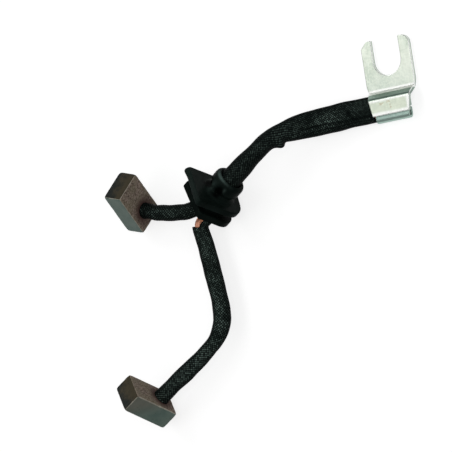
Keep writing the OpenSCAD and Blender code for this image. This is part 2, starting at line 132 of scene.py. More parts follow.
def on_brush(at, angles, depth):
    local = Vector((0, BRUSH_T / 2 - depth, BRUSH_L / 2 - LEAD_FROM_FACE))
    return brush_middle(at, angles) + turn(angles) @ local


GROMMET = turn(GROMMET_TURN)


def plate_drop(w, l, r, x, y, z):
    """How far a rounded plate of the tilted grommet hangs below its middle."""
    a, v = GROMMET[2][0], -GROMMET[2][1]
    return ((w / 2 - r) * abs(a) + (y + l / 2 - r) * v + r * math.hypot(a, v) - x * a
            - z * GROMMET[2][2])


GROMMET_MIDDLE = Vector((*GROMMET_AT, max(
    plate_drop(PLATE_W, PLATE_L, WIDE_R, 0, 0, -UPPER_T),
    plate_drop(LOWER_W, LOWER_L, LOWER_R, LOWER_X, LOWER_Y, LOWER_Z))))


def on_grommet(y, z, x=0.0):
    return GROMMET_MIDDLE + GROMMET @ Vector((x, y, z))


ALONG_GROMMET = GROMMET @ Vector((0, 0, 1))
GROMMET_SIDE = GROMMET @ Vector((0, -1, 0))
SHORT_OUT = turn(SHORT_TURN) @ Vector((0, 1, 0))
LONG_OUT = turn(LONG_TURN) @ Vector((0, 1, 0))
short_mouth = on_brush(SHORT_AT, SHORT_TURN, -LEAD_PLAY)
long_mouth = on_brush(LONG_AT, LONG_TURN, -LEAD_PLAY)
short_exit = on_grommet(COLLAR_Y - HALF_SPREAD, LOWER_Z - LEAD_PLAY)
long_exit = on_grommet(COLLAR_Y + HALF_SPREAD, LOWER_Z - LEAD_PLAY)
short_line = [short_mouth, short_mouth + SHORT_OUT * STRAIGHT_L, *map(Vector, SHORT_ROUTE),
              short_exit - ALONG_GROMMET * TURN_IN_L, short_exit]
long_line = [long_exit, long_exit - ALONG_GROMMET * STRAIGHT_L, *map(Vector, LONG_ROUTE),
             long_mouth + LONG_OUT * STRAIGHT_L, long_mouth]
flap_y = -SLOT_D / 2 - WEB_L - RISER_RUN
flap_taper = (FLAP_W - FLAP_END_W) / 2 / FLAP_L
sleeve_end_y = -13.0
sleeve_end = Vector((-FLAP_W / 2 - FLAP_GAP - (sleeve_end_y - flap_y) * flap_taper, sleeve_end_y,
                     FLAT_H / 2 + SLEEVE_PLAY))
sleeve_insert = COLLAR_H - SLEEVE_STOP
pair_line = [on_grommet(COLLAR_Y, COLLAR_H - sleeve_insert),
             on_grommet(COLLAR_Y, COLLAR_H - sleeve_insert / 2), on_grommet(COLLAR_Y, COLLAR_H),
             *map(Vector, PAIR_ROUTE), sleeve_end - Vector((2.5, 0, 0)), sleeve_end]


# ---- Helpers for meshes ----

def np_smooth(t):
    t = np.clip(t, 0, 1)
    return t * t * (3 - 2 * t)


def hump(x, middle, width, e=2):
    """A rounded rise to 1 at the middle."""
    return np.exp(-((x - middle) / width) ** e)


def power(x, e):
    return np.sign(x) * np.abs(x) ** e


def vertex_array(mesh):
    co = np.empty(len(mesh.vertices) * 3)
    mesh.vertices.foreach_get("co", co)
    return co.reshape(-1, 3)


def set_vertices(mesh, co):
    mesh.vertices.foreach_set("co", np.asarray(co, dtype=float).ravel())
    mesh.update()


def store(mesh, name, values, kind="FLOAT"):
    """Keeps a number or a colour on each vertex for the materials to read."""
    attr = mesh.attributes.new(name, kind, "POINT")
    if kind == "FLOAT":
        attr.data.foreach_set("value", np.asarray(values, dtype=float).ravel())
    else:
        rgba = np.ones((len(mesh.vertices), 4))
        rgba[:, :3] = values
        attr.data.foreach_set("color", rgba.ravel())


def mesh_of(bm, name):
    mesh = bpy.data.meshes.new(name)
    bm.to_mesh(mesh)
    bm.free()
    return mesh


def lumps(points, size, seed):
    """Smooth unevenness from -1 to 1 at each point, in millimetres."""
    shift = Vector((seed * 7.3, seed * 3.1, seed * 5.7))
    return np.array([noise.noise(Vector(p) / size + shift) for p in points])


def add_piece(name, mesh, slot, *replaced, smooth=True):
    for p in mesh.polygons:
        p.use_smooth = smooth
    obj = bpy.data.objects.new(name, mesh)
    bpy.context.scene.collection.objects.link(obj)
    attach(obj, "root")
    if replaced:
        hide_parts(*replaced)
    return obj


def merged_copy(node):
    """The node's solid as clean flat faces, ready for an edge to be rounded."""
    bm = bmesh.new()
    bm.from_mesh(nodes[node].data)
    bmesh.ops.remove_doubles(bm, verts=bm.verts, dist=2e-6)
    bmesh.ops.dissolve_limit(bm, angle_limit=math.radians(1.0), verts=bm.verts, edges=bm.edges,
                             use_dissolve_boundaries=False, delimit={"NORMAL"})
    return bm


def round_edges(bm, width, segments, from_angle):
    """Rounds the sharp edges, and tells which vertices lie only on the rounding."""
    sharp = [e for e in bm.edges
             if len(e.link_faces) == 2 and e.calc_face_angle(0) > math.radians(from_angle)]
    made = bmesh.ops.bevel(bm, geom=sharp, offset=width, offset_type="OFFSET", affect="EDGES",
                           segments=segments, profile=0.5, material=-1, clamp_overlap=True)
    rounded = set(made["faces"])
    bm.verts.index_update()
    return [float(all(f in rounded for f in v.link_faces)) for v in bm.verts]


def edge_loops(edges):
    """Boundary edges sorted into closed loops of (edges, vertices)."""
    left = set(edges)
    loops = []
    while left:
        e = left.pop()
        chain, verts = [e], list(e.verts)
        while True:
            nxt = next((x for x in verts[-1].link_edges if x in left), None)
            if nxt is None:
                break
            left.remove(nxt)
            chain.append(nxt)
            verts.append(nxt.other_vert(verts[-1]))
        loops.append((chain, verts))
    return loops


# ---- Node groups and materials ----

def add(tree, kind, inputs=None, **settings):
    """A shader node with its sockets linked or set."""
    n = tree.nodes.new("ShaderNode" + kind)
    for key, value in settings.items():
        setattr(n, key, value)
    for key, value in (inputs or {}).items():
        if isinstance(value, bpy.types.NodeSocket):
            tree.links.new(value, n.inputs[key])
        elif isinstance(value, tuple) and n.inputs[key].type == "RGBA":
            n.inputs[key].default_value = (*value, 1)
        else:
            n.inputs[key].default_value = value
    return n


def math_node(tree, operation, a, b=0.0, clamp=False):
    return add(tree, "Math", {0: a, 1: b}, operation=operation, use_clamp=clamp).outputs[0]


def times(tree, a, b):
    return math_node(tree, "MULTIPLY", a, b)


def plus(tree, a, b):
    return math_node(tree, "ADD", a, b)


def minus(tree, a, b):
    return math_node(tree, "SUBTRACT", a, b)


def blend(tree, share, a, b):
    """Colour a where the share is 0 and colour b where it is 1."""
    n = tree.nodes.new("ShaderNodeMix")
    n.data_type = "RGBA"
    for socket, value in ((n.inputs[0], share), (n.inputs[6], a), (n.inputs[7], b)):
        if isinstance(value, bpy.types.NodeSocket):
            tree.links.new(value, socket)
        else:
            socket.default_value = (*value, 1) if isinstance(value, tuple) else value
    return n.outputs[2]


def span(tree, value, low, high, to_low=0.0, to_high=1.0):
    """The value stretched from one span to another, with soft ends."""
    return add(tree, "MapRange", {"Value": value, "From Min": low, "From Max": high,
                                  "To Min": to_low, "To Max": to_high},
               interpolation_type="SMOOTHSTEP").outputs["Result"]


def band(tree, value, rise, fall):
    """1 between two soft limits."""
    return times(tree, span(tree, value, *rise), span(tree, value, *fall))


def new_group(name, inputs, outputs):
    group = bpy.data.node_groups.new(name, "ShaderNodeTree")
    for label, kind, value in inputs:
        socket = group.interface.new_socket(label, in_out="INPUT",
                                            socket_type="NodeSocket" + kind)
        if value is not None:
            socket.default_value = value
    for label, kind in outputs:
        group.interface.new_socket(label, in_out="OUTPUT", socket_type="NodeSocket" + kind)
    return group, group.nodes.new("NodeGroupInput").outputs, \
        group.nodes.new("NodeGroupOutput").inputs


def use(tree, group, inputs):
    n = tree.nodes.new("ShaderNodeGroup")
    n.node_tree = group
    for key, value in inputs.items():
        if isinstance(value, bpy.types.NodeSocket):
            tree.links.new(value, n.inputs[key])
        else:
            n.inputs[key].default_value = value
    return n.outputs


def make_grain():
    """Fine and broad unevenness of a surface."""
    g, i, o = new_group("surface_grain", [("Vector", "Vector", None), ("Scale", "Float", 1000.0)],
                        [("Fine", "Float"), ("Broad", "Float")])
    fine = add(g, "TexNoise", {"Vector": i["Vector"], "Scale": i["Scale"], "Detail": 4.0,
                               "Roughness": 0.62})
    slow = times(g, i["Scale"], 0.14)
    broad = add(g, "TexNoise", {"Vector": i["Vector"], "Scale": slow, "Detail": 3.0,
                                "Roughness": 0.55})
    g.links.new(fine.outputs["Fac"], o["Fine"])
    g.links.new(broad.outputs["Fac"], o["Broad"])
    return g


def make_specks():
    """Scattered small spots: dust, metal flecks or pits."""
    g, i, o = new_group("specks", [("Vector", "Vector", None), ("Scale", "Float", 1500.0),
                                   ("Spread", "Float", 0.25)], [("Mask", "Float")])
    cell = add(g, "TexVoronoi", {"Vector": i["Vector"], "Scale": i["Scale"], "Randomness": 1.0})
    size = add(g, "TexNoise", {"Vector": i["Vector"], "Scale": times(g, i["Scale"], 0.3),
                               "Detail": 2.0})
    reach = times(g, span(g, size.outputs["Fac"], 0.35, 0.7), i["Spread"])
    low = times(g, reach, 0.4)
    mask = add(g, "MapRange", {"Value": cell.outputs["Distance"], "From Min": low,
                               "From Max": plus(g, reach, 0.001), "To Min": 1.0, "To Max": 0.0})
    g.links.new(mask.outputs["Result"], o["Mask"])
    return g


def make_edge_wear_and_highlight():
    """Wear, and painted highlight, that follows an edge and breaks up along it."""
    g, i, o = new_group("edge_wear_and_highlight", [("Vector", "Vector", None), ("Edge", "Float", 0.0),
                                      ("Scale", "Float", 800.0), ("Break-up", "Float", 0.3)],
                        [("Mask", "Float")])
    n = add(g, "TexNoise", {"Vector": i["Vector"], "Scale": i["Scale"], "Detail": 4.0})
    worn = times(g, minus(g, n.outputs["Fac"], 0.5), i["Break-up"])
    both = plus(g, i["Edge"], times(g, worn, 4.0))
    g.links.new(times(g, span(g, both, 0.35, 0.75), span(g, i["Edge"], 0.02, 0.2)), o["Mask"])
    return g


GRAIN, SPECKS, EDGE_WEAR_AND_HIGHLIGHT = make_grain(), make_specks(), make_edge_wear_and_highlight()


def new_material(name):
    mat = bpy.data.materials.new(name)
    mat.use_nodes = True
    tree = mat.node_tree
    coords = tree.nodes.new("ShaderNodeTexCoord").outputs["Object"]
    return mat, tree, tree.nodes["Principled BSDF"], coords


def raised(tree, shader, height, strength, distance):
    n = add(tree, "Bump", {"Height": height, "Strength": strength, "Distance": distance})
    tree.links.new(n.outputs["Normal"], shader.inputs["Normal"])


def attribute(tree, name):
    n = tree.nodes.new("ShaderNodeAttribute")
    n.attribute_name = name
    return n.outputs


def tin_material():
    """Hot-tinned sheet: pale, a little green, mottled, with painted shade and painted highlights.
    """
    mat, tree, shader, co = new_material("tin_plate")
    grain = use(tree, GRAIN, {"Vector": co, "Scale": 1500.0})
    stretched = add(tree, "Mapping", {"Vector": co, "Scale": Vector((1.0, 0.12, 1.0))})
    streak = use(tree, GRAIN, {"Vector": stretched.outputs[0], "Scale": 2600.0})
    xyz = add(tree, "SeparateXYZ", {0: co}).outputs
    face = blend(tree, span(tree, grain["Broad"], 0.3, 0.7), (0.62, 0.71, 0.60), (0.84, 0.90, 0.79))
    cool = span(tree, xyz["Y"], -0.0005, -0.0085)
    face = blend(tree, times(tree, cool, 0.5), face, (0.58, 0.66, 0.59))
    face = blend(tree, span(tree, grain["Fine"], 0.38, 0.68, 0.0, 0.5), face, (0.93, 0.98, 0.86))
    # painted shade on the riser, darkest next to the flap
    riser_shade = band(tree, xyz["Y"], (-0.00885, -0.0091), (-0.01085, -0.0106))
    face = blend(tree, times(tree, riser_shade, 0.95), face, (0.24, 0.34, 0.28))
    riser_darkest_shade = band(tree, xyz["Y"], (-0.0101, -0.0104), (-0.0109, -0.0106))
    face = blend(tree, times(tree, riser_darkest_shade, 0.7), face, (0.07, 0.11, 0.09))
    # painted highlights: the hollow of the bend, and three borders of the flap
    hollow_highlight = band(tree, xyz["Y"], (-0.0075, -0.0079), (-0.0091, -0.0089))
    on_flap = times(tree, span(tree, xyz["Y"], -0.01085, -0.01095),
                    span(tree, xyz["Z"], 0.0040, 0.0041))
    from_sides = math_node(tree, "MINIMUM", minus(tree, -0.0110, xyz["Y"]),
                           plus(tree, xyz["Y"], 0.01475))
    from_border = math_node(tree, "MINIMUM", from_sides, minus(tree, 0.0057, xyz["X"]))
    wavy = plus(tree, from_border, times(tree, minus(tree, grain["Broad"], 0.5), 0.0010))
    border_highlight = times(tree, span(tree, wavy, 0.0008, -0.0001), on_flap)
    middle_of_flap = times(tree, on_flap, minus(tree, 1.0, border_highlight))
    face = blend(tree, times(tree, middle_of_flap, 0.5), face, (0.66, 0.72, 0.56))
    painted_highlight = math_node(tree, "MAXIMUM", hollow_highlight, border_highlight)
    face = blend(tree, painted_highlight, face, (0.97, 0.99, 0.95))
    # painted shade: the ferrule's sheet is coloured a darker teal
    shade = attribute(tree, "shade")["Fac"]
    face = blend(tree, times(tree, shade, 0.9), face, (0.36, 0.51, 0.455))
    # weld marks on the flap
    marks = None
    for x, y, r in WELD_MARKS:
        away = add(tree, "VectorMath", {0: co, 1: (x * MM, y * MM, FLAP_TOP * MM)},
                   operation="DISTANCE").outputs["Value"]
        ragged = plus(tree, away, times(tree, minus(tree, grain["Fine"], 0.5), 0.0012))
        spot = span(tree, ragged, r * MM, r * MM * 0.35)
        marks = spot if marks is None else math_node(tree, "MAXIMUM", marks, spot)
    face = blend(tree, times(tree, marks, 0.45), face, (0.48, 0.37, 0.22))
    # painted highlight on the rims that lean right
    rim = use(tree, EDGE_WEAR_AND_HIGHLIGHT, {"Vector": co, "Edge": attribute(tree, "rim")["Fac"], "Scale": 500.0,
                           "Break-up": 0.03})["Mask"]
    edge = math_node(tree, "MULTIPLY", rim, minus(tree, 0.9, shade), clamp=True)
    face = blend(tree, edge, face, (0.98, 1.0, 0.98))
    # painted shade on the walls and left-leaning rims, on the fork only at their foot
    low = math_node(tree, "MAXIMUM", span(tree, xyz["Z"], 0.0008, 0.0005, 0.2, 1.0),
                    span(tree, xyz["Z"], 0.0016, 0.0020))
    wall_shade = times(tree, attribute(tree, "wall")["Fac"], low)
    face = blend(tree, times(tree, wall_shade, 0.75), face, (0.22, 0.29, 0.25))
    tree.links.new(face, shader.inputs["Base Color"])
    rough = span(tree, streak["Fine"], 0.25, 0.75, 0.28, 0.42)
    tree.links.new(minus(tree, rough, times(tree, rim, 0.12)), shader.inputs["Roughness"])
    shader.inputs["Metallic"].default_value = 0.85
    raised(tree, shader, plus(tree, streak["Fine"], grain["Fine"]), 0.18, 0.00003)
    return mat


def graphite_material():
    """Pressed copper graphite: sawn brown faces, slick grey-green skin, dark running face."""
    mat, tree, shader, co = new_material("copper_graphite")
    grain = use(tree, GRAIN, {"Vector": co, "Scale": 2000.0})
    tone = add(tree, "SeparateColor", {0: attribute(tree, "face_tone")["Color"]}).outputs
    marks = add(tree, "SeparateColor", {0: attribute(tree, "edge_tone")["Color"]}).outputs
    flecks = use(tree, SPECKS, {"Vector": co, "Scale": 2600.0, "Spread": 0.42})["Mask"]
    pits = use(tree, SPECKS, {"Vector": co, "Scale": 1700.0, "Spread": 0.35})["Mask"]
    sawn = blend(tree, span(tree, grain["Fine"], 0.32, 0.68), (0.095, 0.068, 0.052),
                 (0.460, 0.365, 0.300))
    sawn = blend(tree, span(tree, grain["Broad"], 0.35, 0.65, 0.0, 0.5), sawn,
                 (0.270, 0.240, 0.160))
    sawn = blend(tree, times(tree, flecks, 0.55), sawn, (0.55, 0.36, 0.27))
    stain = times(tree, tone["Blue"], span(tree, grain["Broad"], 0.2, 0.6, 0.55, 1))
    sawn = blend(tree, stain, sawn, (0.085, 0.046, 0.038))
    skin = blend(tree, span(tree, grain["Broad"], 0.3, 0.7), (0.095, 0.150, 0.128),
                 (0.145, 0.198, 0.168))
    skin = blend(tree, times(tree, tone["Blue"], 0.55), skin, (0.16, 0.13, 0.10))
    skin = blend(tree, times(tree, flecks, 0.15), skin, (0.2, 0.17, 0.13))
    worn = plus(tree, tone["Green"], times(tree, minus(tree, grain["Broad"], 0.5), 1.5))
    run = blend(tree, span(tree, worn, 0.95, 0.45), (0.0040, 0.0085, 0.0065), (0.058, 0.047, 0.025))
    run = blend(tree, times(tree, flecks, 0.22), run, (0.15, 0.135, 0.10))
    face = blend(tree, span(tree, tone["Red"], 0.3, 0.7), sawn, skin)
    face = blend(tree, span(tree, tone["Green"], 0.15, 0.3), face, run)
    face = blend(tree, times(tree, pits, 0.45), face, (0.018, 0.016, 0.013))
    # pale edge lines: partly wear, partly painted highlight
    edge = use(tree, EDGE_WEAR_AND_HIGHLIGHT, {"Vector": co, "Edge": marks["Red"], "Scale": 1100.0,
                            "Break-up": 0.42})["Mask"]
    face = blend(tree, times(tree, edge, marks["Green"]), face, (0.62, 0.58, 0.48))
    tree.links.new(face, shader.inputs["Base Color"])
    slick = math_node(tree, "MAXIMUM", tone["Red"], times(tree, tone["Green"], 0.8))
    tree.links.new(span(tree, slick, 0.0, 1.0, 0.78, 0.52), shader.inputs["Roughness"])
    shader.inputs["Specular IOR Level"].default_value = 0.22
    raised(tree, shader, minus(tree, grain["Fine"], pits), 0.35, 0.00004)
    return mat


def rubber_material():
    """Moulded black rubber with fine dust, painted highlights and painted shade."""
    mat, tree, shader, co = new_material("moulded_rubber")
    grain = use(tree, GRAIN, {"Vector": co, "Scale": 900.0})
    dust = use(tree, SPECKS, {"Vector": co, "Scale": 1300.0, "Spread": 0.3})["Mask"]
    tone = add(tree, "SeparateColor", {0: attribute(tree, "moulding")["Color"]}).outputs
    face = blend(tree, span(tree, grain["Broad"], 0.3, 0.75), (0.0040, 0.0070, 0.0060),
                 (0.0110, 0.0185, 0.0160))
    # painted highlight where the red of the moulding attribute is set
    painted_highlight_share = times(tree, tone["Red"], span(tree, grain["Fine"], 0.25, 0.6, 0.45, 1.0))
    face = blend(tree, painted_highlight_share, face, (0.105, 0.155, 0.140))
    # painted shade where its green is set
    face = blend(tree, tone["Green"], face, (0.0006, 0.0011, 0.0009))
    face = blend(tree, times(tree, dust, 0.14), face, (0.08, 0.12, 0.09))
    tree.links.new(face, shader.inputs["Base Color"])
    tree.links.new(span(tree, grain["Fine"], 0.3, 0.7, 0.30, 0.46), shader.inputs["Roughness"])
    shader.inputs["Specular IOR Level"].default_value = 0.014
    shader.inputs["Specular Tint"].default_value = (0.80, 1.0, 0.92, 1)
    raised(tree, shader, grain["Fine"], 0.35, 0.00006)
    return mat


def weave_material():
    """Varnished glass sleeve: near black, each thread of fine fibres, rougher between the threads,
    with crowns painted lighter, painted glints, and the gaps painted darker as painted shade.
    """
    mat, tree, shader, co = new_material("varnished_weave")
    threads = add(tree, "UVMap", uv_map="threads").outputs[0]
    ab = add(tree, "SeparateXYZ", {0: threads}).outputs
    ia, ib = (math_node(tree, "FLOOR", ab[k]) for k in ("X", "Y"))
    fa, fb = (math_node(tree, "FRACT", ab[k]) for k in ("X", "Y"))
    over = math_node(tree, "PINGPONG", plus(tree, ia, ib), 1.0)
    across = plus(tree, times(tree, fa, over), times(tree, fb, minus(tree, 1.0, over)))
    fibre = math_node(tree, "SINE", times(tree, across, 31.4))
    grain = use(tree, GRAIN, {"Vector": co, "Scale": 1500.0})
    dust = use(tree, SPECKS, {"Vector": co, "Scale": 1100.0, "Spread": 0.3})["Mask"]
    crown = attribute(tree, "crown")["Fac"]
    crossing = add(tree, "CombineXYZ", {0: ia, 1: ib})
    chance = add(tree, "TexWhiteNoise", {0: crossing.outputs[0]},
                 noise_dimensions="2D").outputs["Value"]
    # painted glints on the thread crowns, fading where the surface turns away from the view
    facing = add(tree, "LayerWeight", {"Blend": 0.5}).outputs["Facing"]
    patch = add(tree, "TexNoise", {"Vector": co, "Scale": 150.0, "Detail": 2.0}).outputs["Fac"]
    lit = times(tree, span(tree, facing, 0.5, 0.06), span(tree, patch, 0.38, 0.66, 0.5, 1.0))
    lit = times(tree, lit, attribute(tree, "painted_glint")["Fac"])
    glint = times(tree, span(tree, crown, 0.5, 0.95), span(tree, chance, 0.15, 1.0, 0.2, 1.0))
    # crowns painted lighter and the gaps darker: painted light and shade
    face = blend(tree, span(tree, crown, 0.35, 0.8), (0.0005, 0.0009, 0.0008),
                 (0.0048, 0.0078, 0.0072))
    face = blend(tree, times(tree, glint, lit), face, (0.20, 0.28, 0.245))
    face = blend(tree, times(tree, dust, 0.04), face, (0.10, 0.13, 0.10))
    tree.links.new(face, shader.inputs["Base Color"])
    rough = plus(tree, span(tree, crown, 0.5, 0.95, 0.7, 0.25),
                 span(tree, grain["Fine"], 0.3, 0.7, -0.05, 0.1))
    tree.links.new(rough, shader.inputs["Roughness"])
    shader.inputs["Specular IOR Level"].default_value = 0.025
    shader.inputs["Specular Tint"].default_value = (0.78, 1.0, 0.88, 1)
    raised(tree, shader, plus(tree, times(tree, fibre, 0.25), grain["Fine"]), 0.3, 0.00003)
    return mat


def copper_material():
    """Fine bare copper wires with brown specks, tinned at the terminal's end."""
    mat, tree, shader, co = new_material("strand_copper")
    grain = use(tree, GRAIN, {"Vector": co, "Scale": 1600.0})
    face = blend(tree, span(tree, grain["Broad"], 0.3, 0.7), (0.62, 0.26, 0.14), (1.0, 0.50, 0.34))
    face = blend(tree, span(tree, grain["Fine"], 0.55, 0.8, 0.0, 0.6), face, (0.16, 0.06, 0.03))
    xyz = add(tree, "SeparateXYZ", {0: co}).outputs
    face = blend(tree, span(tree, xyz["X"], 0.001, 0.004), face, (0.42, 0.50, 0.45))
    tree.links.new(face, shader.inputs["Base Color"])
    tree.links.new(span(tree, grain["Fine"], 0.3, 0.7, 0.28, 0.45), shader.inputs["Roughness"])
    shader.inputs["Metallic"].default_value = 0.85
    raised(tree, shader, grain["Fine"], 0.2, 0.00003)
    return mat


# place along X and Y, and radius
WELD_MARKS = [(-2.6, -12.2, 0.55), (-2.0, -12.0, 0.4), (-0.5, -11.9, 0.5), (0.0, -11.8, 0.4),
              (0.2, -12.7, 0.35), (0.3, -13.4, 0.35)]
tin = tin_material()
graphite = graphite_material()
rubber = rubber_material()
weave = weave_material()
copper = copper_material()


# ---- Terminal and ferrule: sheet metal with soft rolled edges ----

def sheet_metal(node, name, slot, width, shade):
    """The node's sheet with rounded edges; rims marked for painted highlight, walls for painted
    shade.
    """
    bm = merged_copy(node)
    rim = round_edges(bm, width * MM, 4, 32)
    bm.normal_update()
    lean = np.array([v.normal for v in bm.verts])
    # walls and left-leaning rims are marked for painted shade
    wall = np_smooth((np.hypot(lean[:, 0], lean[:, 1]) - 0.94) / 0.05)
    wall = np.maximum(wall, np.array(rim) * (lean[:, 0] < -0.35))
    # rims that lean right are marked for a painted highlight
    rim = rim * (lean[:, 0] > -0.2)
    mesh = mesh_of(bm, name)
    store(mesh, "rim", rim)
    store(mesh, "wall", wall)
    store(mesh, "shade", [shade] * len(rim))
    mesh.materials.append(tin)
    obj = add_piece(name, mesh, slot, node)
    mesh.set_sharp_from_angle(angle=math.radians(50))
    even = obj.modifiers.new("even_shading", "WEIGHTED_NORMAL")
    even.keep_sharp = True
    even.weight = 80


sheet_metal("terminal", "terminal_sheet", "terminal", 0.62, 0.0)
# the ferrule is marked for painted shade
sheet_metal("ferrule", "ferrule_band", "ferrule", 0.25, 1.0)


# ---- Brushes: pressed blocks with chipped edges ----

def make_brush(node, at, angles, seed, rounder, corner_r, soft_end):
    """A block in fine cells: rounded edges, small chips, and a tone for each kind of face.

    The running face's corner on the side of rounder is rounded to corner_r. soft_end stains the
    sides towards that face, widens the pale edge lines (wear and painted highlight) of the lead's
    face and weakens the one it shares with the running face.
    """
    bm = bmesh.new()
    bmesh.ops.create_cube(bm, size=1)
    bmesh.ops.subdivide_edges(bm, edges=bm.edges, cuts=80, use_grid_fill=True)
    mesh = mesh_of(bm, node + "_block")
    size = np.array([BRUSH_W, BRUSH_T, BRUSH_L])
    flat = vertex_array(mesh) * size
    half, r = size / 2, BRUSH_BEVEL
    core = np.clip(flat, -half + r, half - r)
    out = flat - core
    length = np.linalg.norm(out, axis=1)[:, None]
    normal = out / np.maximum(length, 1e-9)
    # rounded edges, more so at one corner, with chips along them
    near = np.sort(half - np.abs(flat), axis=1)
    edge = np_smooth(1 - near[:, 1] / 0.55)
    corner = np_smooth(1 - near[:, 2] / 1.1) * edge
    rounded = core + normal * r
    chips = lumps(flat, 0.9, seed) + 0.6 * lumps(flat, 0.35, seed + 1)
    coarse = lumps(flat, 2.6, seed + 2)
    round_xz = np.where(flat[:, 2] > 0, np.where(flat[:, 0] * rounder > 0, corner_r, 0.1), 0.2)
    from_core = np.abs(rounded[:, [0, 2]]) - (half[[0, 2]] - round_xz[:, None])
    inside = np.clip(from_core, 0, None)
    squeeze = inside.max(1) / np.maximum(np.hypot(inside[:, 0], inside[:, 1]), 1e-9)
    squeeze = np.where(inside.min(1) > 0, squeeze, 1)[:, None]
    rounded[:, [0, 2]] = np.sign(rounded[:, [0, 2]]) * (
        half[[0, 2]] - round_xz[:, None] + from_core * squeeze)
    depth = edge * (0.05 * np.clip(chips, 0, 1) + 0.14 * np.clip(coarse - 0.25, 0, 1))
    far = (flat[:, 2] > 0) & (flat[:, 0] * rounder > 0)
    depth += corner * np.where(far, 0.34, 0.16) + 0.012 * np.clip(chips, -0.5, 1)
    shape = rounded - normal * np.clip(depth, 0, 0.45)[:, None]
    # tones of the sides, the running face and the stain round the lead
    from_lead = np.hypot(flat[:, 0], flat[:, 2] - (BRUSH_L / 2 - LEAD_FROM_FACE))
    big = np.argmax(np.abs(flat) / half, axis=1)
    side = (big == 0).astype(float)
    running = ((big == 2) & (flat[:, 2] > 0)).astype(float)
    run_tone = running * (0.66 - 0.38 * flat[:, 1] / half[1])
    on_lead_face = ((big == 1) & (flat[:, 1] > 0)).astype(float)
    stain = on_lead_face * np_smooth((5.2 - from_lead) / 3.0)
    stain += soft_end * side * np_smooth((flat[:, 2] + 2 + flat[:, 1]) / 8)
    store(mesh, "face_tone", np.stack([side, run_tone, stain], 1), "FLOAT_COLOR")
    # pale lines along the edges, partly wear and partly painted highlight
    at_lead_edge = np_smooth((flat[:, 1] - half[1] + 0.6) / 0.3)
    at_run_edge = np_smooth((flat[:, 2] - half[2] + 0.6) / 0.3)
    line = np_smooth(1 - near[:, 1] / (0.30 + 0.24 * soft_end * at_lead_edge * (1 - at_run_edge)))
    strength = 0.62 + 0.35 * coarse + 0.2 * on_lead_face - 0.15 * side
    strength = np.clip(strength * (1 - 0.8 * soft_end * at_lead_edge * at_run_edge), 0, 1)
    store(mesh, "edge_tone", np.stack([line, strength, corner], 1), "FLOAT_COLOR")
    matrix = np.array(turn(angles))
    set_vertices(mesh, (shape @ matrix.T + np.array(brush_middle(at, angles))) * MM)
    mesh.materials.append(graphite)
    add_piece(node + "_block", mesh, "brush", node)


make_brush("brush_short", SHORT_AT, SHORT_TURN, 1, -1, 0.3, 0.0)
make_brush("brush_long", LONG_AT, LONG_TURN, 5, 1, 0.15, 1.0)


# ---- Grommet: one moulded rubber piece with soft edges ----

def make_grommet():
    """The solid in even cells, softened, then dented and ribbed in its own frame."""
    bm = merged_copy("grommet")
    there = Matrix.Translation(GROMMET_MIDDLE * MM) @ GROMMET.to_4x4()
    bmesh.ops.transform(bm, matrix=there.inverted(), verts=bm.verts)
    bmesh.ops.triangulate(bm, faces=bm.faces)
    mesh = mesh_of(bm, "grommet_moulding")
    scratch = bpy.data.objects.new("scratch", mesh)
    bpy.context.scene.collection.objects.link(scratch)
    remesh = scratch.modifiers.new("even_cells", "REMESH")
    remesh.mode = "VOXEL"
    remesh.voxel_size = 0.17 * MM
    graph = bpy.context.evaluated_depsgraph_get()
    fine = bpy.data.meshes.new_from_object(scratch.evaluated_get(graph))
    bpy.data.objects.remove(scratch)
    bpy.data.meshes.remove(mesh)
    bm = bmesh.new()
    bm.from_mesh(fine)
    for _ in range(7):
        bmesh.ops.smooth_vert(bm, verts=bm.verts, factor=0.5, use_axis_x=True, use_axis_y=True,
                              use_axis_z=True)
    bm.to_mesh(fine)
    bm.free()
    x, y, z = (vertex_array(fine) / MM).T
    # one corner of the upper plate is drawn out
    corner = hump(x, -7, 2.2) * hump(y, -8, 2.5) * hump(z, -1.2, 1.2)
    y = y - 0.9 * corner
    # two dents and a rib on the collar's side
    radius = np.hypot(x, y - COLLAR_Y)
    angle = np.degrees(np.arctan2(y - COLLAR_Y, x)) % 360
    side = np_smooth((radius - 3.5) / 0.4)
    dents = np.zeros_like(x)
    for at, height, wide, tall in ((256, 1.7, 17, 1.9), (318, 2.4, 17, 2.0)):
        dents += hump(angle, at, wide) * hump(z, height, tall)
    dents *= side * np_smooth((z - 0.1) / 0.5)
    rib = side * hump(angle, 286, 9) * hump(z, 2.2, 1.6) * np_smooth(z / 0.6)
    grow = 0.35 * rib - 0.4 * dents
    x = x + (x / radius) * grow
    y = y + (y - COLLAR_Y) / radius * grow
    # painted highlight on the lip, a knob, the rib and the plate's edge; painted shade in the
    # dents, a hollow by the collar and on the lower plate
    lip_highlight = hump(angle, 285, 38) * hump(z, 5.9, 0.3)
    knob_highlight = side * hump(angle, 331, 5) * hump(z, 3.9, 0.8)
    edge = hump(y, -8, 0.5) * (z < 0.2) * (z > -2.2)
    painted_highlight = 0.95 * lip_highlight + 0.45 * knob_highlight + 0.22 * rib + 0.05 * edge
    painted_shade = 0.95 * np.clip(dents * 1.6, 0, 1) + 0.5 * (z < -1.9)
    painted_shade += 0.85 * hump(angle, 246, 20) * hump(radius, 4.8, 1.0) * (z > -0.4) * (z < 2.2)
    there_array = np.array(there)
    local = np.stack([x, y, z], 1) * MM
    set_vertices(fine, local @ there_array[:3, :3].T + there_array[:3, 3])
    store(fine, "moulding", np.clip(np.stack([painted_highlight, painted_shade, painted_shade], 1), 0, 1), "FLOAT_COLOR")
    fine.name = "grommet_moulding"
    fine.materials.clear()
    fine.materials.append(rubber)
    add_piece("grommet_moulding", fine, "grommet", "grommet")


make_grommet()


# ---- Sleeves ----

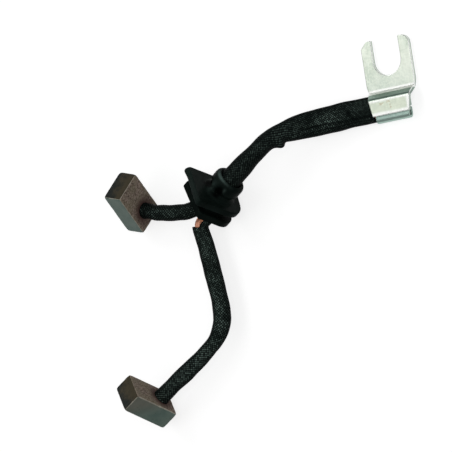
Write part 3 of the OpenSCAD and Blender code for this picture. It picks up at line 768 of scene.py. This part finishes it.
def grid_mesh(name, along, around):
    """A flat grid of cells with a UV map, to be wrapped into a tube."""
    bm = bmesh.new()
    bm.loops.layers.uv.new("UVMap")
    bmesh.ops.create_grid(bm, x_segments=along, y_segments=around, size=0.5, calc_uvs=True)
    return mesh_of(bm, name)


def path_frames(points, count, side_of, start, end):
    """Evenly spaced middles, directions and sides along a smooth route, and each one's share."""
    run = route_length(points)
    share = np.interp(np.linspace(start, end, count), run, np.linspace(0, 1, len(run)))
    mid = [spline_point(points, float(s)) for s in share]
    along = [(spline_point(points, min(1, float(s) + 1e-3))
              - spline_point(points, max(0, float(s) - 1e-3))).normalized() for s in share]
    sides, side = [], None
    for i, t in enumerate(along):
        want = side_of(float(share[i])) if side_of else (
            Vector((0, 0, 1)).cross(t) if side is None else side)
        side = (want - t * want.dot(t)).normalized()
        sides.append(side)
    return np.array(mid), np.array(along), np.array(sides), share


def weave_height(a, b):
    """Height from 0 to 1 of a plain weave: a and b count the threads in both directions."""
    ia, ib = np.floor(a), np.floor(b)
    fa, fb = a - ia - 0.5, b - ib - 0.5
    first = (ia + ib) % 2 == 0
    across = np.where(first, fb, fa)
    run = np.where(first, fa, fb)
    crown = np.sqrt(np.clip(1 - (across / 0.5) ** 2, 0, 1))
    return crown * (0.55 + 0.45 * np.cos(math.pi * run))


def tube(name, points, section, cells, lift_of, wall, side_of=None, start=0.0, end=None,
         cuts=(None, None), swell=None, threads=(1, 1), painted_glint=1.0):
    """A tube along a route, its outside raised by lift_of, with a plain inner wall.

    Each of the cuts says how far an end is drawn back, and along what length it eases off.
    """
    along, around = cells
    mesh = grid_mesh(name, along, around)
    inner = grid_mesh(name + "_inner", max(8, along // 5), around)
    end = route_length(points)[-1] if end is None else end
    length, rows = end - start, 800
    mid, direction, side, share = path_frames(points, rows, side_of, start, end)
    up = np.cross(direction, side)

    def lay(target, inset, raised_by):
        flat = vertex_array(target) + 0.5
        u, v = flat[:, 0], flat[:, 1]
        along_u = u.copy()
        for cut, e in zip(cuts, (0, -1)):
            if cut:
                x, y = section(np.full_like(u, share[e]), 2 * math.pi * v, inset, np.zeros_like(u))
                off = np.outer(x, side[e]) + np.outer(y, up[e])
                away = (u if e == 0 else 1 - u) * length
                along_u += cut[0](off) / length * np.clip(1 - away / cut[1], 0, 1)
        k = along_u * (rows - 1)
        lo = np.clip(np.floor(k).astype(int), 0, rows - 2)
        f = (k - lo)[:, None]
        p, s, w, t, sh = (arr[lo] * (1 - f) + arr[lo + 1] * f
                          for arr in (mid, side, up, direction, share[:, None]))
        s /= np.linalg.norm(s, axis=1)[:, None]
        w /= np.linalg.norm(w, axis=1)[:, None]
        x, y = section(sh[:, 0], 2 * math.pi * v, inset, raised_by(u, v))
        out = s * x[:, None] + w * y[:, None]
        place = p + out
        if swell:
            place += swell(p, unit(out), t)
        set_vertices(target, place * MM)
        return u, v

    def by_thread(u, v):
        return u * threads[0] + v * threads[1], u * threads[0] - v * threads[1]

    u, v = lay(mesh, 0.0, lambda u, v: lift_of(u, v, length))
    lay(inner, wall, lambda u, v: np.zeros_like(u))
    store(mesh, "crown", weave_height(*by_thread(u, v)))
    # strength of the painted glints
    store(mesh, "painted_glint", painted_glint(u, v) if callable(painted_glint) else u * 0 + painted_glint)
    uv = np.empty(len(mesh.loops) * 2)
    mesh.uv_layers["UVMap"].data.foreach_get("uv", uv)
    threaded = np.stack(by_thread(*uv.reshape(-1, 2).T), 1)
    mesh.uv_layers.new(name="threads").data.foreach_set("uv", threaded.ravel())
    # each sheet is closed into a tube, and the two are joined at their ends
    bm = bmesh.new()
    bm.from_mesh(mesh)
    bmesh.ops.remove_doubles(bm, verts=bm.verts, dist=1e-7)
    other = bmesh.new()
    other.from_mesh(inner)
    bmesh.ops.remove_doubles(other, verts=other.verts, dist=1e-7)
    other.to_mesh(inner)
    other.free()
    bm.from_mesh(inner)
    loops = edge_loops([e for e in bm.edges if e.is_boundary])
    centres = [sum((v.co for v in l[1]), Vector()) / len(l[1]) for l in loops]
    used = set()
    for i in range(len(loops)):
        if i not in used:
            j = min((k for k in range(len(loops)) if k != i and k not in used),
                    key=lambda k: (centres[k] - centres[i]).length)
            used |= {i, j}
            bmesh.ops.bridge_loops(bm, edges=loops[i][0] + loops[j][0])
    bmesh.ops.recalc_face_normals(bm, faces=bm.faces)
    bm.to_mesh(mesh)
    bm.free()
    bpy.data.meshes.remove(inner)
    return mesh


def round_section(sh, angle, inset, lift):
    """The round sleeves: the place round the middle at each angle."""
    r = SLEEVE_D / 2 - inset - SLEEVE_PLAY + lift
    return r * np.cos(angle), r * np.sin(angle)


def pair_side(u):
    """The wide way of the shared sleeve, which turns along its route."""
    a = (GROMMET_SIDE.lerp(BEND_SIDE, smooth01((u - 0.12) / 0.28))).normalized()
    return a.lerp(Vector((0, 1, 0)), smooth01((u - 0.5) / 0.25)).normalized()


def even_tables():
    """Angle against the share of the girth, from the round to the flattened section."""
    theta = np.linspace(0, 2 * math.pi, 1441)
    tables = []
    for flat in np.linspace(0, 1, 9):
        e = 1 - 0.35 * flat
        x = mix(PAIR_D, FLAT_W, flat) * power(np.cos(theta), e)
        y = mix(BEND_H, FLAT_H, flat) * power(np.sin(theta), e)
        run = np.concatenate([[0], np.cumsum(np.hypot(np.diff(x), np.diff(y)))])
        tables.append(run / run[-1])
    return theta, tables


THETA, EVEN = even_tables()


def even_angle(angle, flat):
    """The section's angle at which the threads stay evenly spaced round its girth."""
    share = angle / (2 * math.pi)
    looked = np.stack([np.interp(share, run, THETA) for run in EVEN])
    lo = np.clip((flat * 8).astype(int), 0, 7)
    at = np.arange(len(share))
    f = flat * 8 - lo
    return looked[lo, at] * (1 - f) + looked[lo + 1, at] * f


def pair_section(sh, angle, inset, lift):
    """The shared sleeve: round at the grommet, lower in the bend, flat with a fold at the flap."""
    flat = np_smooth((sh - 0.5) / 0.35)
    angle = even_angle(angle, flat)
    w = PAIR_D + (FLAT_W - PAIR_D) * flat
    bent = PAIR_D + (BEND_H + 0.4 - PAIR_D) * np_smooth((sh - 0.02) / 0.33)
    h = bent + (FLAT_H - bent) * np_smooth((sh - 0.6) / 0.35)
    e = 1 - 0.35 * flat
    at = np.degrees(angle) % 180
    fold = flat * (0.24 * hump(at, 119, 6) - 0.28 * hump(at, 109, 4))
    grow = lift + np.where(inset > 0, 0, fold) - SLEEVE_PLAY
    c, s = power(np.cos(angle), e), power(np.sin(angle), e)
    x, y = (w / 2 - inset) * c, (h / 2 - inset) * s
    n = np.sqrt(x * x + y * y)
    return x + x / n * grow, y + y / n * grow


PUCKER_AT = np.array(PAIR_ROUTE[5])


def unit(vectors):
    return vectors / np.linalg.norm(vectors, axis=1)[:, None]


def pair_swell(p, out, t):
    """The pucker inside the bend, a tighter upper side and a sag towards the terminal."""
    ahead = ((p - PUCKER_AT) * t).sum(1)
    near = np.abs(ahead) / np.where(ahead > 0, 1.1, 2.0)
    edge = unit(np.cross(t, np.array(BEND_SIDE)))
    on = np.clip((out * edge).sum(1), 0, 1) ** 3
    x = p[:, 0]
    trim = 0.28 * hump(x, -39.5, 2.8) + 0.45 * hump(x, -31, 2.4) + 0.13 * hump(x, -20, 7)
    sag = 0.42 * hump(x, -20.5, 7, 4)
    upper, lower = (np.clip(out @ way, 0, 1) ** 1.5 for way in (TOWARDS_TOP, -TOWARDS_TOP))
    return out * (1.25 * hump(near, 0, 1, 3) * on - trim * upper + sag * lower)[:, None]


# place along Y, and how far the long sleeve stands proud on its upper and lower side
LONG_SWELL = [(-78, 0.1, 0.1), (-75, 0.1, 0.42), (-72, 0.0, 0.15), (-69.5, 0.08, -0.18),
              (-66, 0.2, 0.18), (-62, 0.38, 0.5), (-57, 0.28, 0.22), (-49, 0.6, 0.08),
              (-45, 0.4, 0.2), (-38, 0.0, 0.3)]


def long_swell(p, out, t):
    """The long sleeve is fuller in some places than in others."""
    faces = (out * unit(np.cross(t, TOWARDS_FRONT))).sum(1)
    place, upper, lower = np.array(LONG_SWELL).T
    return out * (np.clip(faces, 0, 1) * np.interp(p[:, 1], place, upper)
                  + np.clip(-faces, 0, 1) * np.interp(p[:, 1], place, lower))[:, None]


def short_swell(p, out, t):
    """The short sleeve is fuller on its upper side, away from the brush."""
    from_brush = np_smooth((p[:, 0] + 76) / 4)
    return out * (0.22 * from_brush * np.clip(out @ TOWARDS_TOP, 0, 1))[:, None]


def pair_painted_glint(u, v):
    """Painted glints on the shared sleeve: none in the creases and a dent in the flattened part."""
    angle = np.degrees(even_angle(2 * math.pi * v, np_smooth((u - 0.5) / 0.35)))
    flat = np_smooth((u - 0.5) / 0.15)
    crease = hump(angle, 109, 4.5) + 0.6 * hump(angle, 131, 4)
    dent = hump(u, 0.87 + (angle - 90) * 0.0012, 0.011) * hump(angle, 90, 16)
    painted_glint = 0.42 + 1.1 * hump(u, 0.755, 0.075) * hump(angle, 95, 22) + 0.25 * hump(u, 0.47, 0.05)
    return painted_glint * np.clip(1 - flat * (0.9 * crease + dent), 0, 1)


def long_painted_glint(u, v):
    """Painted glints on the long sleeve: strongest just past its torn end, good past its middle."""
    return 0.75 + 0.45 * hump(u, 0.14, 0.06) + 0.2 * hump(u, 0.6, 0.15)


def make_sleeve(name, points, section, perimeter, flares=(0, 0), start=0.0, painted_glint=0.7,
                pitch=0.8, cells=7, relief=0.1, **more):
    """A woven sleeve: threads at the pitch each way, so many cells to a thread, raised so far."""
    length = route_length(points)[-1] - start
    columns, turns = round(perimeter / pitch), round(length / pitch)

    def lift_of(u, v, length):
        h = (weave_height(u * turns + v * columns, u * turns - v * columns) - 0.55) * relief
        ends = np.clip(np.minimum(u, 1 - u) * length / 0.15, 0, 1)
        uneven = 0.05 * np.sin(u * length * 0.9 + 3 * np.sin(2 * math.pi * v)) \
            * np.cos(2 * math.pi * v + u * 7)
        flare = flares[0] * hump(u * length, 0, 0.7) + flares[1] * hump((1 - u) * length, 0, 0.7)
        return h * ends + uneven + flare

    mesh = tube(name, points, section, (turns * cells, columns * cells), lift_of, SLEEVE_WALL,
                start=start, threads=(turns, columns), painted_glint=painted_glint, **more)
    mesh.materials.append(weave)
    add_piece(name + "_woven", mesh, "sleeve", name)


def torn_end(offset):
    """The sleeve is torn back on its open side, and reaches the grommet on the other."""
    forward = np.clip(offset @ TOWARDS_FRONT, 0, 2.4)
    return (TORN_L + 0.1 * forward) * np_smooth((offset @ TORN_SIDE - 0.2) / 0.35)


def flap_end(offset):
    """The shared sleeve ends along the flap's slanted side."""
    return -flap_taper * offset[:, 1]


make_sleeve("sleeve_short", short_line, round_section, math.pi * SLEEVE_D, (0.14, 0), painted_glint=0.6,
            swell=short_swell)
make_sleeve("sleeve_long", long_line, round_section, math.pi * SLEEVE_D, (0.05, 0.14),
            start=BARE_L - TONGUE_L, cuts=((torn_end, 24.0), None), painted_glint=long_painted_glint,
            swell=long_swell)
make_sleeve("sleeve_pair", pair_line, pair_section, PAIR_GIRTH, side_of=pair_side,
            cuts=(None, (flap_end, 1.2)), swell=pair_swell, painted_glint=pair_painted_glint,
            pitch=0.74, cells=6, relief=0.09)


# ---- Bare copper where the long lead shows, twisted from fine wires ----

def make_strands():
    """Nine bundles round the lead, each of finer wires that run the other way."""
    def section(sh, angle, inset, lift):
        r = LEAD_D / 2 + 0.03 - inset + lift
        return r * np.cos(angle), r * np.sin(angle)

    def lift_of(u, v, length):
        bundle = np.abs(np.cos(math.pi * (v * 9 + u * length / 6.0)))
        wire = np.abs(np.cos(math.pi * (v * 54 - u * length / 0.9)))
        return 0.09 * bundle ** 0.7 + 0.03 * wire

    mesh = tube("lead_strands", long_line, section, (90, 216), lift_of, 0.02,
                start=0.0, end=BARE_L + 2.0)
    mesh.materials.append(copper)
    add_piece("lead_strands", mesh, "copper")


make_strands()

for node in ("lead_short", "lead_long"):
    solid = nodes[node]
    for s in solid.material_slots:
        s.material = copper
    if not solid.material_slots:
        solid.data.materials.append(copper)


# ---- Floor, light and camera ----

def soft_light(name, direction, distance, size, radiance):
    """A soft box that looks at the middle of the set from a direction, with a plain brightness."""
    data = bpy.data.lights.new(name, "AREA")
    data.shape = "RECTANGLE"
    data.size, data.size_y = size
    data.energy = radiance * math.pi * size[0] * size[1]
    lamp = bpy.data.objects.new(name, data)
    way = Vector(direction).normalized()
    lamp.location = middle + way * distance
    lamp.rotation_euler = way.to_track_quat("Z", "Y").to_euler()
    bpy.context.scene.collection.objects.link(lamp)


middle = Vector((-57.911, -36.285, 0)) * MM
right = Vector((0.88100, -0.15500, -0.44700)).normalized()
back = Vector((0.43615, -0.10003, 0.89430)).normalized()
right = (right - back * right.dot(back)).normalized()
up = back.cross(right)

cam_data = bpy.data.cameras.new("camera")
view_distance, view_width = 5.0, 0.12656
cam_data.sensor_width = 36
cam_data.lens = cam_data.sensor_width * view_distance / view_width
cam_data.clip_start, cam_data.clip_end = 0.5, 20
camera = bpy.data.objects.new("camera", cam_data)
camera.matrix_world = Matrix.Translation(middle + back * view_distance) @ Matrix(
    (right, up, back)).transposed().to_4x4()
bpy.context.scene.collection.objects.link(camera)
bpy.context.scene.camera = camera

bm = bmesh.new()
bmesh.ops.create_grid(bm, x_segments=1, y_segments=1, size=6)
bmesh.ops.translate(bm, verts=bm.verts, vec=(0, 0, cad_low.z - 0.00002))
floor_mesh = mesh_of(bm, "floor")
floor_obj = bpy.data.objects.new("floor", floor_mesh)
bpy.context.scene.collection.objects.link(floor_obj)
mat, tree, shader, _ = new_material("floor_white")
shader.inputs["Base Color"].default_value = (0.5, 0.5, 0.5, 1)
shader.inputs["Roughness"].default_value = 0.9
shader.inputs["Specular IOR Level"].default_value = 0.0
shader.inputs["Emission Color"].default_value = (1, 1, 1, 1)
path = tree.nodes.new("ShaderNodeLightPath").outputs
seen = math_node(tree, "MAXIMUM", path["Is Camera Ray"], path["Is Glossy Ray"])
tree.links.new(times(tree, seen, 0.75), shader.inputs["Emission Strength"])
floor_mesh.materials.append(mat)

world = bpy.data.worlds.new("studio")
bpy.context.scene.world = world
world.use_nodes = True
world.node_tree.nodes["Background"].inputs["Color"].default_value = (1, 1, 1, 1)
path = world.node_tree.nodes.new("ShaderNodeLightPath").outputs
world.node_tree.links.new(span(world.node_tree, path["Is Camera Ray"], 0.0, 1.0, 0.3, 1.0),
                          world.node_tree.nodes["Background"].inputs["Strength"])

soft_light("left_strip", (-0.46, 0.02, 0.88), 1.1, (1.0, 0.40), 1.2)
soft_light("high_left", (-0.44, 0.60, 0.68), 1.0, (0.44, 0.34), 2.6)
soft_light("front", (0.40, 0.0, 0.92), 1.0, (0.40, 0.75), 1.35)

bpy.context.scene.view_settings.view_transform = "Standard"
